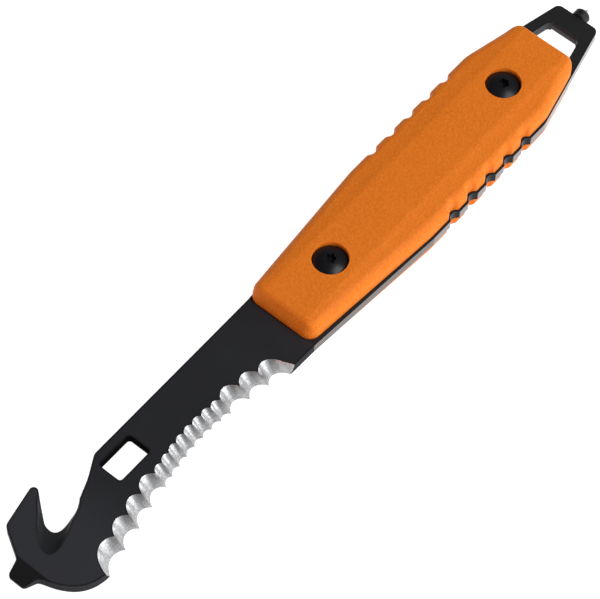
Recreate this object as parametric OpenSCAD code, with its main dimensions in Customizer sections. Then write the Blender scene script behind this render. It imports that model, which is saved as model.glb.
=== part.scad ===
// Fixed-blade rescue tool: a full-tang steel plate with a strap-cutting hook, a pry tab, a wrench
// cut-out and scalloped serrations, between two screwed handle scales, with a glass-breaker stud.
// It lies on its right scale: +X points to the butt, +Y to the spine, +Z up. The origin is on the
// right scale's flat, midway between the two handle screws.

/* [Plate] */
// Thickness of the steel plate
plate_t = 3.5; // [3.2:0.1:4]
// Height of the spine above the handle's centre line
spine_y = 11.75; // [11:0.05:12.5]
// Distance from the handle's centre line to the plate's edge on the cutting side
tang_half_w = 17; // [16.6:0.1:17.5]
// Distance from the handle's centre line to the plate's edge on the spine side
tang_spine_w = 16.4; // [16.2:0.1:17]
// Half the width of the plate at its butt end
butt_half_w = 7.8; // [7:0.1:8.5]
// Distance from the handle's middle to the butt end
butt_x = 82.1; // [80:0.1:84]

/* [Pry tab] */
// Distance from the handle's middle to the tip of the pry tab
tip_x = 178.5; // [177.5:0.1:180]
// Length of the tab's ramp
ramp_l = 5.6; // [4.5:0.1:5.8]
// Thickness left at the tip of the tab
tip_t = 0.8; // [0.6:0.1:1.5]

/* [Strap hook] */
// Radius of the ball-ended grinding point at the hook's throat
throat_grind_r = 5.1; // [4.8:0.1:5.3]
// Radius of the grinding point at the hook's mouth
mouth_grind_r = 6.1; // [5.6:0.1:6.3]

/* [Wrench cut-out] */
// Length of the cut-out along the blade
wrench_l = 13.1; // [12:0.1:14]
// Height of the cut-out
wrench_h = 8.3; // [7:0.1:8.5]

/* [Serrations] */
// Slope of the grind below the horizontal, in degrees
grind_angle = 41; // [39:0.5:43]
// Pitch of the wide scallops
wide_pitch = 7.4; // [7.3:0.05:7.5]
// Depth of the wide scallops, measured on the plate's face
wide_depth = 2.65; // [2.4:0.05:2.8]
// Pitch of the narrow scallops
fine_pitch = 3.74; // [3.7:0.01:3.78]
// Depth of the narrow scallops, measured on the plate's face
fine_depth = 1.05; // [0.9:0.05:1.2]

/* [Handle scales] */
// Thickness of one scale
scale_t = 6.5; // [6.2:0.1:7.5]
// Half the width of a scale
scale_half_w = 16.2; // [15.8:0.1:16.4]
// Half the width of the flat along the middle of a scale
flat_half_w = 8; // [7:0.1:8.5]
// Radius of the hollow that runs along each side of the flat
hollow_r = 40; // [35:1:60]
// Slope at which the hollow leaves the flat, in degrees
hollow_slope = 12; // [8:0.5:14]

/* [Finger notches] */
// Number of notches on each edge of the handle
notch_count = 5; // [3:1:5]
// Distance between notches
notch_pitch = 8.9; // [8.5:0.1:9.2]
// Depth of a notch
notch_depth = 1.4; // [1.2:0.1:1.6]

/* [Screws] */
// Distance between the two screw axes
screw_span = 84.4; // [82:0.2:86]
// Diameter of a screw head
head_d = 11.3; // [10.8:0.1:11.4]
// Diameter of the pocket that the head sits in
pocket_d = 11.8; // [11.6:0.1:12.2]
// Depth of the pocket
pocket_depth = 3; // [2.6:0.1:3.2]
// Outer diameter of the threaded barrels
barrel_d = 7; // [6.6:0.1:7.4]
// Length of the threaded barrels
barrel_l = 7.2; // [6.6:0.1:7.4]

/* [Glass breaker] */
// Diameter of the stud
stud_d = 5.4; // [4.6:0.1:5.8]
// Distance that the stud's collar stands out of the butt
stud_l = 3.3; // [2.8:0.1:4]

/* [Hidden] */
$fn = 72;

plate_z = scale_t;                   // underside of the plate
plate_top = scale_t + plate_t;       // upper face of the plate
mid_z = scale_t + plate_t / 2;       // plane midway through the tool
cut = 1;                             // how far a cutter runs past a face
arc_step = 7;                        // largest turn between two points of a rounded corner, degrees
fit_gap = 0.05;                      // clearance on each side of a located piece

// Handle plan
handle_front_x = -65.7;
handle_rear_x = 64;
handle_front_half_w = 12.05;
handle_wide_x = -13;                 // where the handle reaches its full width
handle_taper_x = 42.5;               // where the tang's cutting side turns in towards the butt
scale_taper_x = 44;                  // where the scales' edges do
taper = (tang_half_w - butt_half_w) / (butt_x - handle_taper_x);
notch_mid_x = 15.2;
notch_half_l = 2.3;                  // half the length of a notch at its mouth
notch_floor_l = 1.2;                 // and between the corners of its floor
front_rise = 1.5;                    // height of the upright foot of a scale's front end
front_lean = 2;                      // how far the front end leans back above its foot

// Serration plan: the grind's upper line is a hyperbola, steepest at both ends
grind_x = -108.5;
grind_y = -3.4;
grind_steep = 0.24;
grind_round = 15;
wide_front = 4;                      // wide scallops ahead of the narrow ones
fine_count = 8;
wide_rear = 3;
first_cusp_x = -127.6 - (wide_front - 1) * wide_pitch - 0.4;
grind_reach = plate_t / tan(grind_angle);

// Lanyard opening in the butt
lanyard_x = [62.5, 74.6];
lanyard_half_w = [8.5, 5.85];
lanyard_chamfer = 0.75;

// Wrench cut-out's corner nearest the hook and the handle's centre line
wrench_corner = [-136.4, 0.1];

// Screw and barrel details
barrel_bore_d = 5;
shank_d = 4.9;
shank_clearance_d = 5.4;
shank_l = 5;
recess_depth = 1.7;
head_rim = 2.1;                      // height of the upright edge of a screw head

// Stud details
stud_shank_d = 2.6;
stud_shank_l = 4.6;
stud_chamfer = 0.5;
tip_d = 2;
tip_seat = 1.6;                      // depth of the tip's seat in the stud
tip_out = 2;                         // how far the point stands out of the stud

// ---- Outline helpers ------------------------------------------------------------------------

function unit(v) = v / norm(v);
function turn(a) = a > 180 ? a - 360 : a < -180 ? a + 360 : a;

// Points of the arc of radius r that rounds corner b between its neighbours a and c
function corner(a, b, c, r) =
    let (u = unit(a - b), v = unit(c - b), half = acos(u * v) / 2,
         centre = b + unit(u + v) * r / sin(half),
         start = b + u * r / tan(half) - centre, end = b + v * r / tan(half) - centre,
         from = atan2(start.y, start.x), sweep = turn(atan2(end.y, end.x) - from),
         steps = max(2, ceil(abs(sweep) / arc_step)))
    [for (k = [0:steps]) centre + r * [cos(from + sweep * k / steps), sin(from + sweep * k / steps)]];

// Outline through corners given as [x, y, radius]; a radius of 0 keeps the corner sharp
function rounded(p) =
    let (n = len(p))
    [for (i = [0:n - 1])
        let (a = p[(i + n - 1) % n], b = p[i], c = p[(i + 1) % n])
        each b[2] == 0 ? [[b.x, b.y]] : corner([a.x, a.y], [b.x, b.y], [c.x, c.y], b[2])];

// Corners reflected in the handle's centre line
function mirrored(p) = [for (c = p) [c.x, -c.y, c[2]]];

// Corners in the opposite order
function reversed(p) = [for (i = [len(p) - 1:-1:0]) p[i]];

// Corners of the finger notches on the +Y edge of an outline of half-width w, from front to rear
function notches(w) =
    [for (i = [0:notch_count - 1])
        let (x = notch_mid_x + (i - (notch_count - 1) / 2) * notch_pitch)
        each [[x - notch_half_l, w, 0.6], [x - notch_floor_l, w - notch_depth, 2],
              [x + notch_floor_l, w - notch_depth, 2], [x + notch_half_l, w, 0.6]]];

// ---- Serrations -----------------------------------------------------------------------------

// Height of the grind's upper line at x
function grind_line(x) =
    grind_y - grind_steep * (sqrt(pow(x - grind_x, 2) + pow(grind_round, 2)) - grind_round);

// Places of the points between scallops, from the hook to the handle
cusps = [for (i = [0:wide_front - 1]) first_cusp_x + i * wide_pitch + (i > 0 ? 0.4 : 0),
         for (i = [1:fine_count]) -127.6 + i * fine_pitch,
         for (i = [1:wide_rear - 1]) -127.6 + fine_count * fine_pitch + i * 7.15];

// Radius of the round cutter whose pass is w wide and d deep on the plate's face
function flute_r(w, d) =
    let (deep = d * sin(grind_angle))
    (w * w / 4 + deep * deep) / (2 * deep);

// One pass of the cutter: its lowest line crosses the plate's upper face at (x, y)
module flute(x, y, r) {
    reach = 30;
    translate([x, y, plate_top])
        rotate([grind_angle - 90, 0, 0])
            translate([0, -r, 0])
                cylinder(r = r, h = reach, center = true);
}

module serration_cuts() {
    // the first pass is wide and sweeps round to the belly's corner
    flute(-154.2, -8.8, 7.3);
    for (i = [0:len(cusps) - 2]) {
        w = cusps[i + 1] - cusps[i];
        d = w > wide_pitch * 0.8 ? wide_depth : fine_depth;
        y = (grind_line(cusps[i]) + grind_line(cusps[i + 1])) / 2 + d;
        flute((cusps[i] + cusps[i + 1]) / 2, y, flute_r(w, d));
    }
    // the last scallop is drawn out towards the handle by a second, wider pass
    flute(-80.2, -5.2, 4.8);
    flute(-81, -6.5, 7.3);
}

// ---- The steel plate ------------------------------------------------------------------------

plate_front = [
    [-66, spine_y, 12], [-134.6, spine_y, 3],                    // spine
    [-142, 7.7, 25], [-150.5, 4.35, 10], [-156.2, 3.25, 8],      // lower jaw
    [-160.2, 3.95, 2.4], [-160, 8, 4],                           // throat
    [-151.4, 19, 1.4], [-168, 15.5, 2.5], [-173.5, 6.15, 2.2],   // hook point and back of the hook
    [-tip_x, 5.3, 1.4], [-tip_x, -0.7, 1.5], [-174.3, -2.5, 2],  // pry tab
    [-172.2, -8.6, 18], [-167.9, -15, 12],                       // belly
    [-161.5, -16.4, 8], [-158.5, -16.5, 0]];

edge_margin = 0.4;
plate_edge = [for (x = cusps) [x, grind_line(x) - grind_reach - edge_margin, 0]];

// Corners of the plate on the +Y edge of a handle of half-width w, from front to rear
function plate_handle(w) = concat(
    [[handle_wide_x, w, 12]], notches(w),
    [[butt_x - (w - butt_half_w) / taper, w, 8], [butt_x, butt_half_w, 2.2]]);

// The whole outline, from the handle's front on the spine side round by the hook and the belly
ricasso = [[-77.8, -13.1, 0], [-66, -13.4, 20]];
plate_outline = concat(
    plate_front, plate_edge, ricasso,
    mirrored(plate_handle(tang_half_w)), reversed(plate_handle(tang_spine_w)));

// The hook's jaws are ground from above by two passes of a round point: one runs level along the
// mouth and stops short of its opening, the other climbs from the throat and runs out behind it.
// Each end of a pass is [x, y, height above the plate's underside].
throat = [-157.4, 6.4, 4.85];
mouth = [-152.9, 9, 4.1];
run_out = [-170.8, -2.4, 10.5];

// A straight pass from a to b, its radius growing from ra to rb, carried on past a by extra
module grind_pass(a, b, ra, rb, extra) {
    run = b - a;
    length = norm(run);
    translate([a.x, a.y, plate_z + a.z])
        rotate([0, acos(run.z / length), atan2(run.y, run.x)])
            translate([0, 0, -extra]) cylinder(r1 = ra, r2 = rb, h = length + extra);
}

module hook_grind() {
    translate([throat.x, throat.y, plate_z + throat.z]) sphere(r = throat_grind_r + 0.05);
    grind_pass(throat, run_out, throat_grind_r, throat_grind_r, 0);
    grind_pass(throat, mouth, throat_grind_r, mouth_grind_r - 0.05, 0);
    translate([mouth.x, mouth.y, plate_z + mouth.z]) sphere(r = mouth_grind_r);
}

// Ramp that thins the pry tab towards its tip
module tab_ramp() {
    drop = plate_t - tip_t;
    half_w = 12;
    translate([-tip_x, half_w, plate_z])
        rotate([90, 0, 0])
            linear_extrude(2 * half_w)
                polygon([[-ramp_l, tip_t - drop], [ramp_l, plate_t], [ramp_l, plate_t + cut],
                         [-ramp_l, plate_t + cut]]);
}

module wrench_hole() {
    r = 1.1;
    x = wrench_corner.x;
    y = wrench_corner.y;
    translate([0, 0, plate_z - cut])
        linear_extrude(plate_t + 2 * cut)
            polygon(rounded([[x, y, r], [x + wrench_l, y, r], [x + wrench_l, y + wrench_h, r],
                             [x, y + wrench_h, r]]));
}

module lanyard_hole() {
    r = 1.5;
    translate([0, 0, plate_z - cut])
        linear_extrude(plate_t + 2 * cut)
            polygon(rounded([[lanyard_x[0], -lanyard_half_w[0], r], [lanyard_x[1], -lanyard_half_w[1], r],
                             [lanyard_x[1], lanyard_half_w[1], r], [lanyard_x[0], lanyard_half_w[0], r]]));
    // chamfers where the lanyard bears on the butt
    for (side = [0, 1])
        translate([lanyard_x[1], 0, plate_z + side * plate_t])
            rotate([0, 45, 0])
                cube([lanyard_chamfer * sqrt(2), 2 * (lanyard_half_w[1] - 1), lanyard_chamfer * sqrt(2)],
                     center = true);
}

module blade_tang() {
    color([0.17, 0.18, 0.19])
        difference() {
            translate([0, 0, plate_z])
                linear_extrude(plate_t)
                    polygon(rounded(plate_outline));
            serration_cuts();
            tab_ramp();
            hook_grind();
            wrench_hole();
            lanyard_hole();
            for (x = [-screw_span / 2, screw_span / 2])
                translate([x, 0, plate_z - cut])
                    cylinder(d = barrel_d + 2 * fit_gap, h = plate_t + 2 * cut);
            translate([butt_x - stud_shank_l - 0.4, 0, mid_z])
                rotate([0, 90, 0])
                    cylinder(d = stud_shank_d + 2 * fit_gap, h = stud_shank_l + cut, $fn = 32);
        }
}

// ---- Handle scales --------------------------------------------------------------------------

scale_edge = concat(
    [[handle_front_x, handle_front_half_w, 3.6], [handle_wide_x, scale_half_w, 12]],
    notches(scale_half_w),
    [[scale_taper_x, scale_half_w, 10],
     [handle_rear_x, scale_half_w - taper * (handle_rear_x - scale_taper_x), 3.4]]);

// One scale with its inner face on z = 0 and its outer flat at z = scale_t
module scale_body() {
    hollow_y = flat_half_w + hollow_r * sin(hollow_slope);
    hollow_z = scale_t + hollow_r * cos(hollow_slope);
    length = handle_rear_x - handle_front_x + 2 * cut;
    lean = atan(front_lean / (scale_t - front_rise));
    difference() {
        linear_extrude(scale_t)
            polygon(rounded(concat(scale_edge, reversed(mirrored(scale_edge)))));
        // hollow along each side of the flat
        for (side = [-1, 1])
            translate([handle_front_x - cut, side * hollow_y, hollow_z])
                rotate([0, 90, 0])
                    cylinder(r = hollow_r, h = length, $fn = 180);
        // leaning front end
        translate([handle_front_x, 0, front_rise])
            rotate([0, lean, 0])
                translate([-10, -20, 0])
                    cube([10, 40, 10]);
        for (x = [-screw_span / 2, screw_span / 2])
            translate([x, 0, 0]) {
                translate([0, 0, scale_t - pocket_depth]) cylinder(d = pocket_d, h = pocket_depth + cut);
                translate([0, 0, -cut]) cylinder(d = shank_clearance_d, h = scale_t + 2 * cut);
                translate([0, 0, -cut])
                    cylinder(d = barrel_d + 2 * fit_gap, h = cut + (barrel_l - plate_t) / 2 + fit_gap);
            }
    }
}

module left_scale() {
    color([0.84, 0.44, 0.14])
        translate([0, 0, plate_top]) scale_body();
}

module right_scale() {
    color([0.84, 0.44, 0.14])
        translate([0, 0, plate_z]) mirror([0, 0, 1]) scale_body();
}

// ---- Fasteners ------------------------------------------------------------------------------

// Internally threaded barrel, standing through the plate into both scales
module barrel(x) {
    bevel = 0.4;
    color([0.55, 0.56, 0.58])
        translate([x, 0, mid_z - barrel_l / 2])
            rotate_extrude()
                polygon([[barrel_bore_d / 2, 0], [barrel_d / 2 - bevel, 0], [barrel_d / 2, bevel],
                         [barrel_d / 2, barrel_l - bevel], [barrel_d / 2 - bevel, barrel_l],
                         [barrel_bore_d / 2, barrel_l]]);
}

module front_barrel() { barrel(-screw_span / 2); }

module rear_barrel() { barrel(screw_span / 2); }

// Six-lobed driver recess, seen in plan
module recess_plan() {
    circle(d = 2.9, $fn = 48);
    for (i = [0:5])
        rotate(60 * i) translate([1.35, 0]) circle(d = 0.9, $fn = 24);
}

// Dome-headed screw with its head's underside on z = 0 and its shank below
module screw() {
    rise = pocket_depth - head_rim;
    dome_r = (head_d * head_d / 4 + rise * rise) / (2 * rise);
    color([0.08, 0.08, 0.09])
        difference() {
            union() {
                intersection() {
                    cylinder(d = head_d, h = pocket_depth);
                    translate([0, 0, pocket_depth - dome_r]) sphere(r = dome_r, $fn = 180);
                }
                translate([0, 0, -shank_l]) cylinder(d = shank_d, h = shank_l + head_rim / 2);
            }
            translate([0, 0, pocket_depth - recess_depth])
                linear_extrude(recess_depth + cut) recess_plan();
        }
}

// A screw at x, driven from the left face (side = 1) or from the right face (side = -1)
module placed_screw(x, side) {
    translate([x, 0, mid_z])
        mirror([0, 0, side > 0 ? 0 : 1])
            translate([0, 0, plate_t / 2 + scale_t - pocket_depth]) screw();
}

module left_front_screw() { placed_screw(-screw_span / 2, 1); }

module left_rear_screw() { placed_screw(screw_span / 2, 1); }

module right_front_screw() { placed_screw(-screw_span / 2, -1); }

module right_rear_screw() { placed_screw(screw_span / 2, -1); }

// ---- Glass breaker --------------------------------------------------------------------------

// Turned steel stud: a shank set in the butt's edge and a collar with a seat for the hard tip
module breaker_stud() {
    color([0.1, 0.11, 0.12])
        translate([butt_x, 0, mid_z])
            rotate([0, 90, 0])
                difference() {
                    union() {
                        translate([0, 0, -stud_shank_l]) cylinder(d = stud_shank_d, h = stud_shank_l + cut);
                        cylinder(d = stud_d, h = stud_l - stud_chamfer);
                        translate([0, 0, stud_l - stud_chamfer])
                            cylinder(d1 = stud_d, d2 = stud_d - 2 * stud_chamfer, h = stud_chamfer);
                    }
                    translate([0, 0, stud_l - tip_seat]) cylinder(d = tip_d + 2 * fit_gap, h = tip_seat + cut);
                }
}

// Hard conical point, seated in the stud
module breaker_tip() {
    point_d = 0.4;
    color([0.5, 0.51, 0.53])
        translate([butt_x + stud_l - tip_seat, 0, mid_z])
            rotate([0, 90, 0]) {
                cylinder(d = tip_d, h = tip_seat + 0.3);
                translate([0, 0, tip_seat + 0.3]) cylinder(d1 = tip_d, d2 = point_d, h = tip_out - 0.3);
            }
}

blade_tang();
left_scale();
right_scale();
front_barrel();
rear_barrel();
left_front_screw();
left_rear_screw();
right_front_screw();
right_rear_screw();
breaker_stud();
breaker_tip();
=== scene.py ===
import math

import bmesh
import bpy
import numpy as np
from mathutils import Matrix, Vector


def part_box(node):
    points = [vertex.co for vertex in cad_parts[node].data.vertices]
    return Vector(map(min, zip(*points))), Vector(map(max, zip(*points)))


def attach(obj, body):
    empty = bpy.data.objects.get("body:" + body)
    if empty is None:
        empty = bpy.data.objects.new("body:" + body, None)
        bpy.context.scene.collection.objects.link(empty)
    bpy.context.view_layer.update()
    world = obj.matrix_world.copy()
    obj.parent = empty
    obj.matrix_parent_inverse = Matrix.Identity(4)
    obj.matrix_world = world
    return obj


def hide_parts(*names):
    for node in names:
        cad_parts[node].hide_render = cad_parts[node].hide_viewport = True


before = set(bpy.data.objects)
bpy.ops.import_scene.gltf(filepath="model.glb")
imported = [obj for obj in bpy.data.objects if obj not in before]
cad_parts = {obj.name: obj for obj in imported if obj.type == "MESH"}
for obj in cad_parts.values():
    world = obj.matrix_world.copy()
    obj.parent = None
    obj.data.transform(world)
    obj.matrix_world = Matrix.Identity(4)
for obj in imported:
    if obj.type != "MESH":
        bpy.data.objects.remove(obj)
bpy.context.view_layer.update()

MM = 0.001

# ---- Sizes taken from the frame, in millimetres ----------------------------------------------


def box_mm(node):
    low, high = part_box(node)
    return low / MM, high / MM


plate_low, plate_high = box_mm("blade_tang")
scale_low, scale_high = box_mm("left_scale")
screw_low, screw_high = box_mm("left_front_screw")
rear_low, rear_high = box_mm("left_rear_screw")
stud_low, stud_high = box_mm("breaker_stud")
tip_low, tip_high = box_mm("breaker_tip")

SCALE_T = scale_high.z - scale_low.z
PLATE_Z = plate_low.z
PLATE_TOP = plate_high.z
MID_Z = (PLATE_Z + PLATE_TOP) / 2
SCREW_X = [(screw_low.x + screw_high.x) / 2, (rear_low.x + rear_high.x) / 2]
HEAD_D = screw_high.y - screw_low.y
FRONT_X, REAR_X = scale_low.x, scale_high.x
HALF_W = scale_high.y

# Handle plan, as in the CAD model
FRONT_HALF_W = 12.05
WIDE_X = -13.0            # from here to the taper the edges are straight and parallel
TAPER_X = 44.0
TAPER = 9.2 / 39.6        # narrowing of each side per unit of length
NOTCH_COUNT = 5
NOTCH_PITCH = 8.9
NOTCH_MID_X = 15.2
NOTCH_HALF_L = 2.3
NOTCH_FLOOR_L = 1.2       # half length of the notch floor
NOTCH_DEPTH = 1.4
FIRST_NOTCH_X = NOTCH_MID_X - (NOTCH_COUNT - 1) / 2 * NOTCH_PITCH
LAST_NOTCH_X = NOTCH_MID_X + (NOTCH_COUNT - 1) / 2 * NOTCH_PITCH
POCKET_D = 11.4
POCKET_DEPTH = 3.0
FLAT_HALF_W = 8.0

# Regions of the plate, by which its faces get their finish, painted shade or painted sheen
TANG_SPINE_W = 16.4       # half width of the tang on the spine side
LANYARD_X = 62.0          # the lanyard opening lies past this
OPENING_HALF_W = 9.0      # and within this of the middle
BUTT_WALL = 5.0           # the butt's outer edge lies within this of its end
CUTOUT_X, CUTOUT_Y = (-137, -122), (-1, 9)
SERRATED_X = (-168, -70)
SERRATED_Y = -3.0         # the serrations lie below this
BELLY_Y = -2.0            # in front of the handle, the cutting edge lies below this
UPRIGHT, LEVEL = 0.2, 0.98    # Z of the normal: upright faces are below, level ones above
GRIND_LEAN = -0.25        # Y of the normal: the serrations' faces are below this

# ---- Mesh helpers ----------------------------------------------------------------------------


def mesh_object(name, verts_mm, faces, materials, smooth_angle=None):
    """A mesh piece from vertices in millimetres, smooth except across edges over smooth_angle."""
    mesh = bpy.data.meshes.new(name)
    mesh.from_pydata([[c * MM for c in v] for v in verts_mm], [], faces)
    mesh.validate()
    obj = bpy.data.objects.new(name, mesh)
    bpy.context.scene.collection.objects.link(obj)
    for m in materials:
        mesh.materials.append(m)
    bm = bmesh.new()
    bm.from_mesh(mesh)
    bmesh.ops.remove_doubles(bm, verts=bm.verts, dist=0.002 * MM)
    bmesh.ops.recalc_face_normals(bm, faces=bm.faces)
    bm.to_mesh(mesh)
    bm.free()
    if smooth_angle is not None:
        shade(obj, smooth_angle)
    return obj


def shade(obj, angle):
    """Smooth shading, with every edge sharper than angle degrees kept crisp."""
    mesh = obj.data
    mesh.shade_smooth()
    mesh.set_sharp_from_angle(angle=math.radians(angle))


def apply_modifiers(obj):
    """Bakes a piece's modifiers into its mesh."""
    bpy.context.view_layer.update()
    graph = bpy.context.evaluated_depsgraph_get()
    mesh = bpy.data.meshes.new_from_object(obj.evaluated_get(graph))
    obj.modifiers.clear()
    obj.data = mesh


def cut_away(obj, cutter):
    """Takes the cutter out of a piece and deletes it."""
    mod = obj.modifiers.new("cut", "BOOLEAN")
    mod.operation = "DIFFERENCE"
    mod.solver = "EXACT"
    mod.object = cutter
    apply_modifiers(obj)
    bpy.data.objects.remove(cutter)


def circle(r, z, steps):
    """Points of a circle about the Z axis."""
    turns = [2 * math.pi * k / steps for k in range(steps)]
    return [(r * math.cos(t), r * math.sin(t), z) for t in turns]


def lathe(name, profile, steps, materials, smooth_angle=30):
    """A turned solid about its own Z axis. profile is a list of (radius, z) from the bottom up."""
    verts, faces, rings = [], [], []
    for r, z in profile:
        if r < 1e-6:
            rings.append([len(verts)])
            verts.append((0, 0, z))
        else:
            rings.append(list(range(len(verts), len(verts) + steps)))
            verts += circle(r, z, steps)
    for a, b in zip(rings, rings[1:]):
        for k in range(steps):
            n = (k + 1) % steps
            quad = [a[k % len(a)], a[n % len(a)], b[n % len(b)], b[k % len(b)]]
            faces.append(list(dict.fromkeys(quad)))
    if len(rings[0]) > 1:
        faces.append(rings[0][::-1])
    if len(rings[-1]) > 1:
        faces.append(rings[-1])
    return mesh_object(name, verts, faces, materials, smooth_angle)


def place(obj, x, y, z, matrix=None):
    """Moves a piece built about the origin to its place, in millimetres, in its own mesh."""
    if matrix is not None:
        obj.data.transform(matrix)
    obj.data.transform(Matrix.Translation(Vector((x, y, z)) * MM))
    obj.data.update()


def piece(obj, slot, *nodes):
    """Hands a finished piece over to the frame in place of its CAD nodes."""
    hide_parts(*nodes)
    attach(obj, "root")


# ---- Node material helpers -------------------------------------------------------------------


def material(name):
    """A new node material, its tree and its shader."""
    mat = bpy.data.materials.new(name)
    mat.use_nodes = True
    return mat, mat.node_tree, mat.node_tree.nodes["Principled BSDF"]


def noise(tree, scale, detail=3.0, roughness=0.55, coords=None):
    """Noise in the object's own space; scale is in features per metre."""
    node = tree.nodes.new("ShaderNodeTexNoise")
    node.inputs["Scale"].default_value = scale
    node.inputs["Detail"].default_value = detail
    node.inputs["Roughness"].default_value = roughness
    if coords is None:
        coords = tree.nodes.new("ShaderNodeTexCoord").outputs["Object"]
    tree.links.new(coords, node.inputs["Vector"])
    return node.outputs["Fac"]


def ramp(tree, source, stops):
    """A colour ramp; stops are (position, colour)."""
    node = tree.nodes.new("ShaderNodeValToRGB")
    elements = node.color_ramp.elements
    while len(elements) < len(stops):
        elements.new(0.5)
    for element, (position, colour) in zip(elements, stops):
        element.position = position
        element.color = (*colour, 1)
    tree.links.new(source, node.inputs["Fac"])
    return node.outputs["Color"]


def grey_ramp(tree, source, low, high, start=0.3, end=0.7):
    """A blend from one grey to another as the source goes from start to end."""
    return ramp(tree, source, [(start, (low,) * 3), (end, (high,) * 3)])


def bump(tree, height, strength, distance_mm, normal=None):
    """A bumped normal, on top of another one if given."""
    node = tree.nodes.new("ShaderNodeBump")
    node.inputs["Strength"].default_value = strength
    node.inputs["Distance"].default_value = distance_mm * MM
    tree.links.new(height, node.inputs["Height"])
    if normal is not None:
        tree.links.new(normal, node.inputs["Normal"])
    return node.outputs["Normal"]


def scaled(colour, factor):
    return tuple(c * factor for c in colour)


def mix(tree, factor, a, b):
    """Mixes two colours, each a socket or a plain colour."""
    node = tree.nodes.new("ShaderNodeMix")
    node.data_type = "RGBA"
    tree.links.new(factor, node.inputs["Factor"])
    for value, socket in ((a, node.inputs["A"]), (b, node.inputs["B"])):
        if isinstance(value, tuple):
            socket.default_value = (*value, 1)
        else:
            tree.links.new(value, socket)
    return node.outputs["Result"]


def edge_mask(tree, radius_mm, low, high):
    """White within about radius_mm of a sharp edge, black elsewhere.

    low and high are the cosines of the edge's rounding between which white turns to black.
    """
    geometry = tree.nodes.new("ShaderNodeNewGeometry")
    bevel = tree.nodes.new("ShaderNodeBevel")
    bevel.samples = 6
    bevel.inputs["Radius"].default_value = radius_mm * MM
    dot = tree.nodes.new("ShaderNodeVectorMath")
    dot.operation = "DOT_PRODUCT"
    tree.links.new(geometry.outputs["Normal"], dot.inputs[0])
    tree.links.new(bevel.outputs["Normal"], dot.inputs[1])
    return ramp(tree, dot.outputs["Value"], [(low, (1, 1, 1)), (high, (0, 0, 0))])


# ---- Materials -------------------------------------------------------------------------------


def orange_resin():
    """Moulded glass-filled resin: pebbled grain, slight colour variation, satin."""
    mat, tree, shader = material("orange_resin")
    broad = noise(tree, 60, 3)
    pebble = noise(tree, 1500, 2, 0.5)
    fine = noise(tree, 4200, 2, 0.6)
    colour = ramp(tree, broad, [(0.3, (0.71, 0.163, 0.008)), (0.7, (0.76, 0.178, 0.01))])
    spots = grey_ramp(tree, pebble, 0.0, 1.0, 0.35, 0.7)
    colour = mix(tree, spots, colour, (0.83, 0.22, 0.018))
    tree.links.new(colour, shader.inputs["Base Color"])
    tree.links.new(grey_ramp(tree, pebble, 0.5, 0.66), shader.inputs["Roughness"])
    normal = bump(tree, pebble, 0.8, 0.17)
    tree.links.new(bump(tree, fine, 0.25, 0.03, normal), shader.inputs["Normal"])
    shader.inputs["Specular IOR Level"].default_value = 0.16
    shader.inputs["Subsurface Weight"].default_value = 0.06
    shader.inputs["Subsurface Radius"].default_value = (0.0012, 0.0004, 0.0001)
    return mat


def along_x(tree, start, end):
    """A blend from 0 to 1 between two places on the object's X axis, in millimetres."""
    split = tree.nodes.new("ShaderNodeSeparateXYZ")
    tree.links.new(tree.nodes.new("ShaderNodeTexCoord").outputs["Object"], split.inputs[0])
    blend = tree.nodes.new("ShaderNodeMapRange")
    blend.inputs["From Min"].default_value = start * MM
    blend.inputs["From Max"].default_value = end * MM
    tree.links.new(split.outputs["X"], blend.inputs["Value"])
    return blend.outputs["Result"]


WORN_METAL = (0.33, 0.34, 0.36)


def black_coat(name, colour, roughness, wear, specular, grain=2600,
               dull_and_shaded_from=None, painted_head_sheen=None, painted_edge_shade=0):
    """A hard black coating with a fine grain; wear shows bare metal on the outer edges.

    The plate's own coat is darker and rougher past a given X (painted shade in the ledge beside the
    scales), painted lighter across a given span of X at the head as a painted sheen, and has a
    painted shade line of a given reach along every square edge. All are in millimetres.
    """
    mat, tree, shader = material(name)
    broad = noise(tree, 45, 4)
    fine = noise(tree, grain, 3, 0.6)
    shader.inputs["Specular IOR Level"].default_value = specular
    base = mix(tree, grey_ramp(tree, broad, 0, 1), colour, scaled(colour, 1.35))
    rough = grey_ramp(tree, fine, roughness - 0.05, roughness + 0.07)
    # painted sheen: the coat is painted lighter across the given span of X at the head
    if painted_head_sheen is not None:
        base = mix(tree, along_x(tree, *painted_head_sheen), base, scaled(colour, 1.9))
    # darker and rougher past the given X; on the ledge beside the scales the darkening is painted
    # shade
    if dull_and_shaded_from is not None:
        past = along_x(tree, dull_and_shaded_from - 0.4, dull_and_shaded_from + 0.4)
        base = mix(tree, past, base, scaled(colour, 0.3))
        rough = mix(tree, past, rough, (0.75,) * 3)
    tree.links.new(rough, shader.inputs["Roughness"])
    tree.links.new(bump(tree, fine, 0.25, 0.02), shader.inputs["Normal"])
    # painted shade: a dark line along every square edge, where the rounded edge would reflect dark
    # surroundings
    if painted_edge_shade:
        base = mix(tree, edge_mask(tree, painted_edge_shade, 0.93, 0.995), base, scaled(colour, 0.05))
    patchy = grey_ramp(tree, noise(tree, 900, 3), 0.0, wear, 0.4, 0.7)
    worn = tree.nodes.new("ShaderNodeMath")
    worn.operation = "MULTIPLY"
    tree.links.new(edge_mask(tree, 0.18, 0.86, 0.97), worn.inputs[0])
    tree.links.new(patchy, worn.inputs[1])
    tree.links.new(mix(tree, worn.outputs[0], base, WORN_METAL), shader.inputs["Base Color"])
    return mat


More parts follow.
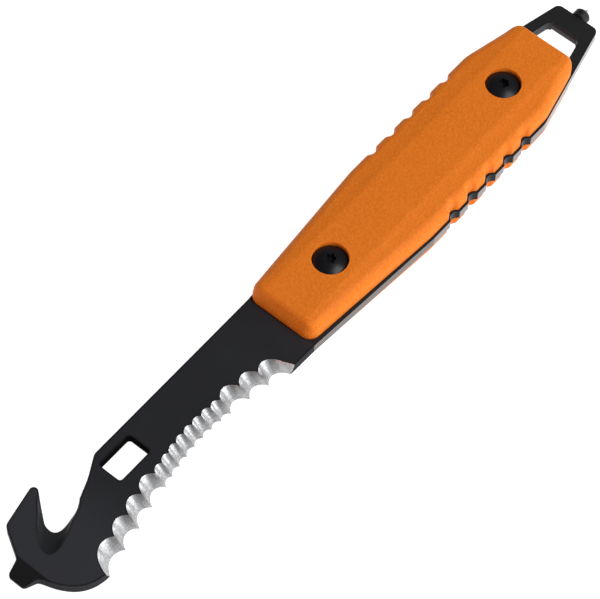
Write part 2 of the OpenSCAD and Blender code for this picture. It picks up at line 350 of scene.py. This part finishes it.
def bare_steel(name, colour, roughness, streak):
    """Ground steel: fine streaks along the grind and small bright and dull patches.

    streak is the scale of the streaks along each axis, in features per metre.
    """
    mat, tree, shader = material(name)
    coords = tree.nodes.new("ShaderNodeTexCoord").outputs["Object"]
    mapping = tree.nodes.new("ShaderNodeMapping")
    mapping.inputs["Scale"].default_value = streak
    tree.links.new(coords, mapping.inputs["Vector"])
    lines = noise(tree, 1.0, 3, 0.6, mapping.outputs["Vector"])
    patches = noise(tree, 1700, 4, 0.75)
    base = mix(tree, grey_ramp(tree, patches, 0, 1, 0.36, 0.6), scaled(colour, 0.54), colour)
    base = mix(tree, grey_ramp(tree, lines, 0.5, 0, 0.35, 0.55), base, scaled(colour, 0.5))
    tree.links.new(base, shader.inputs["Base Color"])
    shader.inputs["Metallic"].default_value = 1.0
    rough = grey_ramp(tree, patches, roughness + 0.08, roughness - 0.05)
    tree.links.new(rough, shader.inputs["Roughness"])
    normal = bump(tree, lines, 0.5, 0.03)
    tree.links.new(bump(tree, patches, 0.5, 0.045, normal), shader.inputs["Normal"])
    return mat


orange = orange_resin()
# The plate's coat, with a painted sheen at the head, painted shade in the ledge beside the scales
# and a painted shade line along its square edges
coat = black_coat("black_coat", (0.0165, 0.0175, 0.0205), 0.34, wear=0.15, specular=0.38,
                  dull_and_shaded_from=FRONT_X, painted_head_sheen=(-138, -156), painted_edge_shade=1.2)
# Copies of the coat for the plate's walls, painted for how light falls there: cut, notch and hole
# walls painted shade; belly, bright and opening walls painted sheen; tang walls mainly glossier
shaded_cut_edge = black_coat("black_cut_edge_painted_shade", (0.0095, 0.0105, 0.012), 0.55, wear=0.15, specular=0.1)
belly_edge_painted_sheen = black_coat("black_belly_edge_painted_sheen", (0.034, 0.036, 0.04), 0.9, wear=0.2, specular=0.0)
tang_edge = black_coat("black_tang_edge", (0.02, 0.018, 0.019), 0.22, wear=0.2, specular=0.7)
notch_edge_painted_shade = black_coat("black_notch_edge_painted_shade", (0.004, 0.005, 0.0075), 0.3, wear=0.3, specular=0.12)
sheen_painted_edge = black_coat("black_edge_painted_sheen", (0.07, 0.062, 0.066), 0.18, wear=0.2, specular=1.0)
hole_edge_painted_shade = black_coat("black_hole_edge_painted_shade", (0.004, 0.004, 0.004), 0.8, wear=0.1, specular=0.0)
opening_edge_painted_sheen = black_coat("black_opening_edge_painted_sheen", (0.022, 0.026, 0.031), 0.5, wear=0.2, specular=0.3)
screw_black = black_coat("screw_black", (0.006, 0.0065, 0.008), 0.3, wear=0.1, specular=0.24,
                         grain=5200)
stud_black = black_coat("stud_black", (0.008, 0.0085, 0.0095), 0.42, wear=0.2, specular=0.3,
                        grain=4200)
grind = bare_steel("ground_steel", (0.51, 0.515, 0.525), 0.34, (2600, 260, 260))
barrel_steel = bare_steel("turned_steel", (0.5, 0.5, 0.52), 0.3, (400, 400, 4000))
carbide = bare_steel("hard_metal", (0.42, 0.43, 0.45), 0.35, (2500, 400, 400))

# ---- Handle scales ---------------------------------------------------------------------------


def rounded_outline(points, step=4.0):
    """Closed outline through (x, y, radius) corners; arcs turn by at most step degrees a point."""
    out = []
    n = len(points)
    for i, (x, y, r) in enumerate(points):
        b = np.array([x, y])
        if r == 0:
            out.append(b)
            continue
        a = np.array(points[i - 1][:2])
        c = np.array(points[(i + 1) % n][:2])
        u = (a - b) / np.linalg.norm(a - b)
        v = (c - b) / np.linalg.norm(c - b)
        half = math.acos(float(np.clip(u @ v, -1, 1))) / 2
        centre = b + (u + v) / np.linalg.norm(u + v) * r / math.sin(half)
        start = b + u * r / math.tan(half) - centre
        end = b + v * r / math.tan(half) - centre
        first = math.atan2(start[1], start[0])
        sweep = (math.atan2(end[1], end[0]) - first + math.pi) % (2 * math.pi) - math.pi
        steps = max(2, math.ceil(abs(math.degrees(sweep)) / step))
        for k in range(steps + 1):
            t = first + sweep * k / steps
            out.append(centre + r * np.array([math.cos(t), math.sin(t)]))
    return np.array(out)


def resample(points, step):
    """Points of a closed outline, evenly spaced, starting from its first point."""
    closed = np.vstack([points, points[:1]])
    lengths = np.r_[0, np.cumsum(np.linalg.norm(np.diff(closed, axis=0), axis=1))]
    count = int(round(lengths[-1] / step))
    at = np.linspace(0, lengths[-1], count, endpoint=False)
    return np.c_[np.interp(at, lengths, closed[:, 0]), np.interp(at, lengths, closed[:, 1])]


def edge_corners(notched):
    """Corners (x, y, radius) of the scale's +Y edge, from front to rear."""
    corners = [(FRONT_X, FRONT_HALF_W, 3.6), (WIDE_X, HALF_W, 12.0)]
    floor_y = HALF_W - NOTCH_DEPTH
    for i in range(NOTCH_COUNT if notched else 0):
        x = NOTCH_MID_X + (i - (NOTCH_COUNT - 1) / 2) * NOTCH_PITCH
        corners += [(x - NOTCH_HALF_L, HALF_W, 0.6), (x - NOTCH_FLOOR_L, floor_y, 2.0),
                    (x + NOTCH_FLOOR_L, floor_y, 2.0), (x + NOTCH_HALF_L, HALF_W, 0.6)]
    corners += [(TAPER_X, HALF_W, 10.0), (REAR_X, HALF_W - TAPER * (REAR_X - TAPER_X), 3.4)]
    return corners


def scale_outline(notched):
    """The scale's closed outline, with or without its notches."""
    edge = edge_corners(notched)
    return rounded_outline(edge + [(x, -y, r) for x, y, r in reversed(edge)])


OUTLINE_STEP = 0.36
SIDE_WALL, END_WALL = 2.7, 5.3    # height of the upright wall above the parting face
SIDE_R, END_R = 3.2, 1.1          # reach of the rounding above it
END_ZONE = 4.0                    # how far the end's wall reaches round the corners
PARTING_CHAMFER = 0.15            # how far the wall's foot is drawn in
HOLLOW_R = 40.0                   # hollow along each side of the flat
HOLLOW_SLOPE = math.radians(12)
RIDGE_BLEND = 0.1                 # how softly the flat meets the hollow
NOTCH_FADE = 3.0                  # how far in from the edge a notch fades away
FRONT_RISE, FRONT_LEAN = 1.5, 2.0    # from that height up, the front end leans back that far
FRONT_ZONE = 9.0                  # how far from the front end the lean fades away
POCKET_RIM = 0.15                 # chamfer at the mouth of a screw pocket
SHANK_HOLE_R = 2.7


def smooth_min(a, b, k):
    """The lower of two heights, blended over k where they cross."""
    h = np.clip(0.5 + 0.5 * (b - a) / k, 0, 1)
    return b * (1 - h) + a * h - k * h * (1 - h)


def facet_height(y):
    """Height of the flat and the two hollows, without the edges."""
    cy = FLAT_HALF_W + HOLLOW_R * math.sin(HOLLOW_SLOPE)
    cz = SCALE_T + HOLLOW_R * math.cos(HOLLOW_SLOPE)
    reach = np.clip(HOLLOW_R ** 2 - (np.abs(y) - cy) ** 2, 0, None)
    hollow = np.where(np.abs(y) > FLAT_HALF_W - 2, cz - np.sqrt(reach), SCALE_T + 5)
    return smooth_min(np.full_like(y, SCALE_T), hollow, RIDGE_BLEND)


def edge_profile(d, top, wall, radius):
    """Height of the rounded edge at distance d from the wall, under a top surface."""
    t = np.clip(d / radius, 0, 1)
    return wall + (top - wall) * np.sqrt(np.clip(1 - (1 - t) ** 2, 0, 1))


def outline_ring():
    """Points of the scale's outline, with each one's way in to the centre line and notch depth."""
    ring = resample(scale_outline(True), OUTLINE_STEP)
    plain = scale_outline(False)
    # inward direction: towards a point of the centre line level with each outline point
    span = (FRONT_X + 13.0, REAR_X - 11.0)
    target = np.c_[np.clip(ring[:, 0], *span), np.zeros(len(ring))]
    inward = target - ring
    reach = np.linalg.norm(inward, axis=1)
    inward /= reach[:, None]
    # the plain outline's distance to each outline point says how deep a notch is there
    seg_a, seg_b = plain, np.roll(plain, -1, axis=0)
    ab = seg_b - seg_a
    t = np.clip(np.einsum("ijk,jk->ij", ring[:, None] - seg_a[None], ab) / (ab ** 2).sum(1), 0, 1)
    near = seg_a[None] + t[..., None] * ab[None]
    depth = np.sqrt(((ring[:, None] - near) ** 2).sum(2).min(1))
    return ring, inward, reach, depth


def scale_rows(ring, inward, reach, depth):
    """Rows of points from the foot of the wall, over the rounded edge, to near the centre line."""
    # the ends have a higher wall and a tighter rounding than the sides
    tangent = np.roll(ring, -1, axis=0) - np.roll(ring, 1, axis=0)
    endward = (tangent[:, 1] / np.linalg.norm(tangent, axis=1)) ** 2
    endward *= (ring[:, 0] < FRONT_X + END_ZONE) | (ring[:, 0] > REAR_X - END_ZONE)
    wall = SIDE_WALL + (END_WALL - SIDE_WALL) * endward
    radius = SIDE_R + (END_R - SIDE_R) * endward
    rows = [np.c_[ring + inward * PARTING_CHAMFER, wall * 0.0]]
    rows += [np.c_[ring, wall * level] for level in (0.06, 0.35, 0.62, 0.85)]
    # rows in from the edge: tight over the rounding, wider over the facets
    rounding = [radius * (1 - math.cos(t * math.pi / 2)) for t in (0, *np.linspace(0.12, 1, 12))]
    beyond = [radius + (NOTCH_FADE + 1.5 - radius) * t for t in np.linspace(0, 1, 9)[1:]]
    for d in rounding + beyond:
        fade = 1 - np.clip(d / NOTCH_FADE, 0, 1)
        outward = depth * (1 - fade ** 1.5)
        p = ring + inward * (d - outward)[:, None]
        rows.append(np.c_[p, edge_profile(d, facet_height(p[:, 1]), wall, radius)])
    last = beyond[-1] - depth
    for k in np.linspace(0, 1, 22)[1:-1]:
        travel = last + (reach - last) * k
        p = ring + inward * travel[:, None]
        rows.append(np.c_[p, facet_height(p[:, 1])])
    # the front end leans back above its foot
    for row in rows:
        lean = np.clip((row[:, 2] - FRONT_RISE) / (SCALE_T - FRONT_RISE), 0, 1) * FRONT_LEAN
        weight = np.clip((FRONT_X + FRONT_ZONE - row[:, 0]) / FRONT_ZONE, 0, 1)
        row[:, 0] += lean * weight
    return rows


def close_crown(obj):
    """Closes the top along the centre line and splits the large faces into triangles."""
    bm = bmesh.new()
    bm.from_mesh(obj.data)
    bmesh.ops.holes_fill(bm, edges=[e for e in bm.edges if e.is_boundary], sides=0)
    bmesh.ops.triangulate(bm, faces=[f for f in bm.faces if len(f.verts) > 4])
    bmesh.ops.recalc_face_normals(bm, faces=bm.faces)
    bm.to_mesh(obj.data)
    bm.free()


def build_scale(name):
    """One scale, standing on its parting face, with its screw pockets cut."""
    rows = scale_rows(*outline_ring())
    n = len(rows[0])
    faces = []
    for j in range(len(rows) - 1):
        for i in range(n):
            a, b = j * n + i, j * n + (i + 1) % n
            faces.append((a, b, b + n, a + n))
    faces.append(tuple(range(n))[::-1])
    obj = mesh_object(name, np.vstack(rows), faces, [orange])
    close_crown(obj)
    r = POCKET_D / 2
    floor_z = SCALE_T - POCKET_DEPTH
    mouth_r = r + POCKET_RIM
    profile = [(SHANK_HOLE_R, -1.0), (SHANK_HOLE_R, floor_z),
               (r - 0.35, floor_z), (r, floor_z + 0.35), (r, SCALE_T - POCKET_RIM),
               (mouth_r, SCALE_T + 0.05), (mouth_r, SCALE_T + 2)]
    for x in SCREW_X:
        cutter = lathe("cutter", profile, 96, [orange], None)
        place(cutter, x, 0, 0)
        cut_away(obj, cutter)
    shade(obj, 38)
    return obj


def scales():
    """The left scale, and the right one as its mirror image."""
    left = build_scale("left_scale_shell")
    right_mesh = left.data.copy()
    right = bpy.data.objects.new("right_scale_shell", right_mesh)
    bpy.context.scene.collection.objects.link(right)
    place(left, 0, 0, PLATE_TOP)
    right_mesh.transform(Matrix.Scale(-1, 4, (0, 0, 1)))
    right_mesh.flip_normals()
    place(right, 0, 0, PLATE_Z)
    piece(left, "scale_orange", "left_scale")
    piece(right, "scale_orange", "right_scale")


# ---- Screws ----------------------------------------------------------------------------------


HEAD_RIM = 1.4            # height of the upright part of a head
RECESS_R, LOBE = 1.78, 0.2
RECESS_DEPTH = 2.1
SHANK_R, SHANK_L = 2.45, 5.0


def star_recess(depth, rise):
    """A six-lobed cutter from z = -depth to z = rise."""
    points = []
    steps = 96
    for k in range(steps):
        t = 2 * math.pi * k / steps
        r = RECESS_R + LOBE * math.cos(6 * t)
        points.append((r * math.cos(t), r * math.sin(t)))
    verts = [(x * 0.96, y * 0.96, -depth) for x, y in points] + [(x, y, rise) for x, y in points]
    faces = [tuple(range(steps))[::-1], tuple(range(steps, 2 * steps))]
    faces += [(k, (k + 1) % steps, steps + (k + 1) % steps, steps + k) for k in range(steps)]
    return mesh_object("cutter", verts, faces, [screw_black])


def screw(name, node, x, side, spin):
    """A domed screw; side is 1 for the left scale and -1 for the right, spin turns its recess."""
    head_h = POCKET_DEPTH
    rise = head_h - HEAD_RIM
    r = HEAD_D / 2 - 0.1
    dome_r = (r * r + rise * rise) / (2 * rise)
    profile = [(0, -SHANK_L), (SHANK_R - 0.35, -SHANK_L), (SHANK_R, 0.3 - SHANK_L), (SHANK_R, 0.0),
               (r - 0.15, 0.0), (r, 0.15), (r, HEAD_RIM - 0.12)]
    for k in range(15):
        t = math.asin(r / dome_r) * (1 - k / 14)
        softened = 0.06 if k == 0 else 0.0
        profile.append((dome_r * math.sin(t) - softened, head_h - dome_r + dome_r * math.cos(t)))
    obj = lathe(name, profile, 96, [screw_black], None)
    cutter = star_recess(RECESS_DEPTH, 1.0)
    place(cutter, 0, 0, head_h)
    cut_away(obj, cutter)
    shade(obj, 32)
    obj.data.transform(Matrix.Rotation(math.radians(spin), 4, "Z"))
    place(obj, 0, 0, (PLATE_TOP - PLATE_Z) / 2 + SCALE_T - head_h)
    if side < 0:
        obj.data.transform(Matrix.Rotation(math.pi, 4, "X"))
    place(obj, x, 0, MID_Z)
    piece(obj, "black_screw", node)


def screws():
    spins = {"left_front_screw": 12, "left_rear_screw": 40,
             "right_front_screw": 27, "right_rear_screw": 5}
    for node, spin in spins.items():
        x = SCREW_X[0] if "front" in node else SCREW_X[1]
        screw(node + "_turned", node, x, 1 if node.startswith("left") else -1, spin)


# ---- Barrels ---------------------------------------------------------------------------------


def barrels():
    """Each barrel with its real internal thread, as rings up the bore."""
    for node in ("front_barrel", "rear_barrel"):
        low, high = box_mm(node)
        r = (high.y - low.y) / 2
        length = high.z - low.z
        bevel = 0.4
        profile = [(r - bevel, 0), (r, bevel), (r, length - bevel), (r - bevel, length)]
        bore, pitch, thread = 2.5, 0.8, 0.28
        inside = []
        z = length
        while z > 0.01:
            inside += [(bore, z), (bore + thread, max(z - pitch / 2, 0))]
            z -= pitch
        inside.append((bore, 0))
        steps = 64
        loop = profile + inside
        verts = [v for a, b in loop for v in circle(a, b, steps)]
        faces = []
        for j in range(len(loop)):
            m = (j + 1) % len(loop)
            for k in range(steps):
                n = (k + 1) % steps
                faces.append((j * steps + k, j * steps + n, m * steps + n, m * steps + k))
        obj = mesh_object(node + "_threaded", verts, faces, [barrel_steel], 35)
        place(obj, (low.x + high.x) / 2, 0, low.z)
        piece(obj, "bare_steel", node)


# ---- Glass breaker ---------------------------------------------------------------------------


ALONG_X = Matrix.Rotation(math.pi / 2, 4, "Y")
STUD_SHANK_R = 1.3
KNURL = 0.14              # depth of the knurl
LANDS = 12                # its lands in half a turn
KNURL_TWIST = 3.2         # how they advance along the collar, in radians of phase


def knurl_depth(t, z):
    """How far the knurl's surface lies inside the collar's radius, at angle t and height z."""
    lands = [abs(math.sin(LANDS * t + way * KNURL_TWIST * z)) for way in (1, -1)]
    return KNURL - KNURL * max(lands)


def stud():
    """The knurled collar and its shank, lying along X, with plain chamfered ends."""
    face_x = plate_high.x
    collar_r = (stud_high.y - stud_low.y) / 2
    collar_l = stud_high.x - face_x
    steps = 144
    rows = [(STUD_SHANK_R, stud_low.x - face_x, False), (STUD_SHANK_R, 0, False),
            (collar_r - 0.25, 0, False), (collar_r, 0.3, False), (collar_r, 0.45, True)]
    rows += [(collar_r, 0.45 + k * (collar_l - 1.2) / 9, True) for k in range(1, 9)]
    rows += [(collar_r, collar_l - 0.75, True), (collar_r, collar_l - 0.6, False),
             (collar_r - 0.5, collar_l, False), (1.25, collar_l, False),
             (1.1, collar_l - 0.15, False)]
    verts, faces = [], []
    for r, z, knurled in rows:
        for k in range(steps):
            t = 2 * math.pi * k / steps
            surface = r - knurl_depth(t, z) if knurled else r
            verts.append((surface * math.cos(t), surface * math.sin(t), z))
    for j in range(len(rows) - 1):
        for k in range(steps):
            n = (k + 1) % steps
            faces.append((j * steps + k, j * steps + n, (j + 1) * steps + n, (j + 1) * steps + k))
    faces.append(tuple(range(steps))[::-1])
    faces.append(tuple(range((len(rows) - 1) * steps, len(rows) * steps)))
    obj = mesh_object("breaker_stud_knurled", verts, faces, [stud_black], 30)
    place(obj, face_x, 0, MID_Z, ALONG_X)
    piece(obj, "black_stud", "breaker_stud")


def tip():
    """The hard point in the stud's end, with a flat-sided cone."""
    out = tip_high.x - stud_high.x
    seat = stud_high.x - tip_low.x
    r = (tip_high.y - tip_low.y) / 2
    profile = [(0, -seat), (r, -seat), (r, 0.2), (r - 0.08, 0.32),
               (0.32, out - 0.2), (0.2, out - 0.06), (0, out)]
    obj = lathe("breaker_tip_point", profile, 64, [carbide], 35)
    place(obj, stud_high.x, 0, MID_Z, ALONG_X)
    piece(obj, "carbide", "breaker_tip")


# ---- Blade and tang --------------------------------------------------------------------------


def in_notch(c):
    """Whether a point of the plate's edge, in millimetres, lies in a finger notch."""
    half_w = -plate_low.y if c.y < 0 else TANG_SPINE_W
    in_row = FIRST_NOTCH_X - NOTCH_HALF_L < c.x < LAST_NOTCH_X + NOTCH_HALF_L
    return in_row and abs(c.y) < half_w - 0.1


def within(value, span):
    return span[0] < value < span[1]


def plate_finish_and_shade(face):
    """The material of one of the plate's faces, by where it lies and which way it faces.

    Most walls get a copy of the coat painted darker or lighter: painted shade or painted sheen.
    """
    c = face.center / MM
    n = face.normal
    if UPRIGHT < n.z < LEVEL:
        if c.y < SERRATED_Y and within(c.x, SERRATED_X) and n.y < GRIND_LEAN:
            return grind
        return opening_edge_painted_sheen if c.x > LANYARD_X else shaded_cut_edge
    if abs(n.z) >= UPRIGHT:
        return coat
    if within(c.x, CUTOUT_X) and within(c.y, CUTOUT_Y):
        return hole_edge_painted_shade
    if c.x < FRONT_X:
        return shaded_cut_edge if c.y > BELLY_Y else belly_edge_painted_sheen
    if LANYARD_X < c.x < plate_high.x - BUTT_WALL and abs(c.y) < OPENING_HALF_W:
        return opening_edge_painted_sheen
    if in_notch(c):
        return notch_edge_painted_shade
    return tang_edge if c.x < WIDE_X else sheen_painted_edge


def blade():
    """The CAD plate itself, with its ground serrations in bare steel and its edges broken."""
    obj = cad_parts["blade_tang"]
    mesh = obj.data
    # the coat, the ground steel, and copies of the coat with painted shade and painted sheen
    finishes_and_shades = [coat, grind, shaded_cut_edge, belly_edge_painted_sheen, tang_edge, notch_edge_painted_shade, sheen_painted_edge,
                hole_edge_painted_shade, opening_edge_painted_sheen]
    mesh.materials.clear()
    for plate_material in finishes_and_shades:
        mesh.materials.append(plate_material)
    for face in mesh.polygons:
        face.material_index = finishes_and_shades.index(plate_finish_and_shade(face))
    weld = obj.modifiers.new("weld", "WELD")
    weld.merge_threshold = 0.004 * MM
    bevel = obj.modifiers.new("bevel", "BEVEL")
    bevel.width = 0.14 * MM
    bevel.segments = 2
    bevel.limit_method = "ANGLE"
    bevel.angle_limit = math.radians(24)
    bevel.use_clamp_overlap = True


blade()
scales()
screws()
barrels()
stud()
tip()

# ---- Floor, light and camera -----------------------------------------------------------------


def floor():
    """A plain white floor just under the tool, lit enough to stay white."""
    size = 3000
    z = -0.02
    corners = [(-size, -size, z), (size, -size, z), (size, size, z), (-size, size, z)]
    obj = mesh_object("floor", corners, [(0, 1, 2, 3)], [])
    mat, _, shader = material("floor_white")
    shader.inputs["Base Color"].default_value = (0.4, 0.4, 0.4, 1)
    shader.inputs["Roughness"].default_value = 0.9
    shader.inputs["Specular IOR Level"].default_value = 0.2
    shader.inputs["Emission Color"].default_value = (1, 1, 1, 1)
    shader.inputs["Emission Strength"].default_value = 0.95
    obj.data.materials.append(mat)


LIT_POINT = Vector((-0.045, 0, 0.01))    # middle of the tool, in metres


def soft_light(name, direction, distance, size, power, colour=(1, 1, 1)):
    """A rectangular light in the given direction from the tool, turned towards it; in metres."""
    light = bpy.data.lights.new(name, "AREA")
    light.shape = "RECTANGLE"
    light.size, light.size_y = size
    light.energy = power
    light.color = colour
    obj = bpy.data.objects.new(name, light)
    bpy.context.scene.collection.objects.link(obj)
    d = Vector(direction).normalized()
    obj.location = d * distance + LIT_POINT
    obj.rotation_euler = (-d).to_track_quat("-Z", "Y").to_euler()


def studio():
    """Floor, surroundings and lights."""
    floor()
    world = bpy.data.worlds.new("studio")
    bpy.context.scene.world = world
    world.use_nodes = True
    tree = world.node_tree
    back = tree.nodes["Background"]
    # a pale wall on the cutting side of the tool, dark overhead and behind
    side = tree.nodes.new("ShaderNodeVectorMath")
    side.operation = "DOT_PRODUCT"
    side.inputs[1].default_value = Vector((0.3, -0.85, -0.2)).normalized()
    tree.links.new(tree.nodes.new("ShaderNodeTexCoord").outputs["Generated"], side.inputs[0])
    sky = ramp(tree, side.outputs["Value"],
               [(0.0, (0.08,) * 3), (0.45, (0.2,) * 3), (0.9, (0.6,) * 3)])
    split = tree.nodes.new("ShaderNodeSeparateXYZ")
    tree.links.new(tree.nodes.new("ShaderNodeTexCoord").outputs["Generated"], split.inputs[0])
    horizon = ramp(tree, split.outputs["Z"], [(0.08, (0.8,) * 3), (0.4, (0.0,) * 3)])
    total = tree.nodes.new("ShaderNodeVectorMath")
    total.operation = "ADD"
    tree.links.new(sky, total.inputs[0])
    tree.links.new(horizon, total.inputs[1])
    tree.links.new(total.outputs[0], back.inputs["Color"])
    soft_light("key", (0.16, -0.52, 0.86), 1.1, (0.6, 0.6), 7.7)
    soft_light("fill", (0.36, -0.78, 0.58), 1.1, (0.5, 0.6), 2.6)
    soft_light("rim", (-0.85, -0.05, 0.25), 1.2, (0.5, 0.4), 1.8, (1, 0.35, 0.2))
    soft_light("low", (0.95, -0.3, 0.12), 1.2, (0.5, 0.4), 3.0)


CAMERA_AT = Vector((-0.4171, -0.2757, 0.7543))
CAMERA_FORWARD = Vector((0.4141, 0.3162, -0.8536))
CAMERA_RIGHT = Vector((0.6387, -0.7691, 0.0250))
LENS = 175.8


def camera():
    """The camera at the photograph's viewing angle, in metres."""
    data = bpy.data.cameras.new("camera")
    data.lens = LENS
    data.sensor_width = 36
    data.clip_start, data.clip_end = 0.01, 20
    obj = bpy.data.objects.new("camera", data)
    bpy.context.scene.collection.objects.link(obj)
    forward = CAMERA_FORWARD.normalized()
    right = (CAMERA_RIGHT - forward * CAMERA_RIGHT.dot(forward)).normalized()
    up = right.cross(forward)
    basis = Matrix((right, up, -forward)).transposed().to_4x4()
    obj.matrix_world = Matrix.Translation(CAMERA_AT) @ basis
    bpy.context.scene.camera = obj


studio()
camera()
bpy.context.scene.view_settings.view_transform = "Standard"
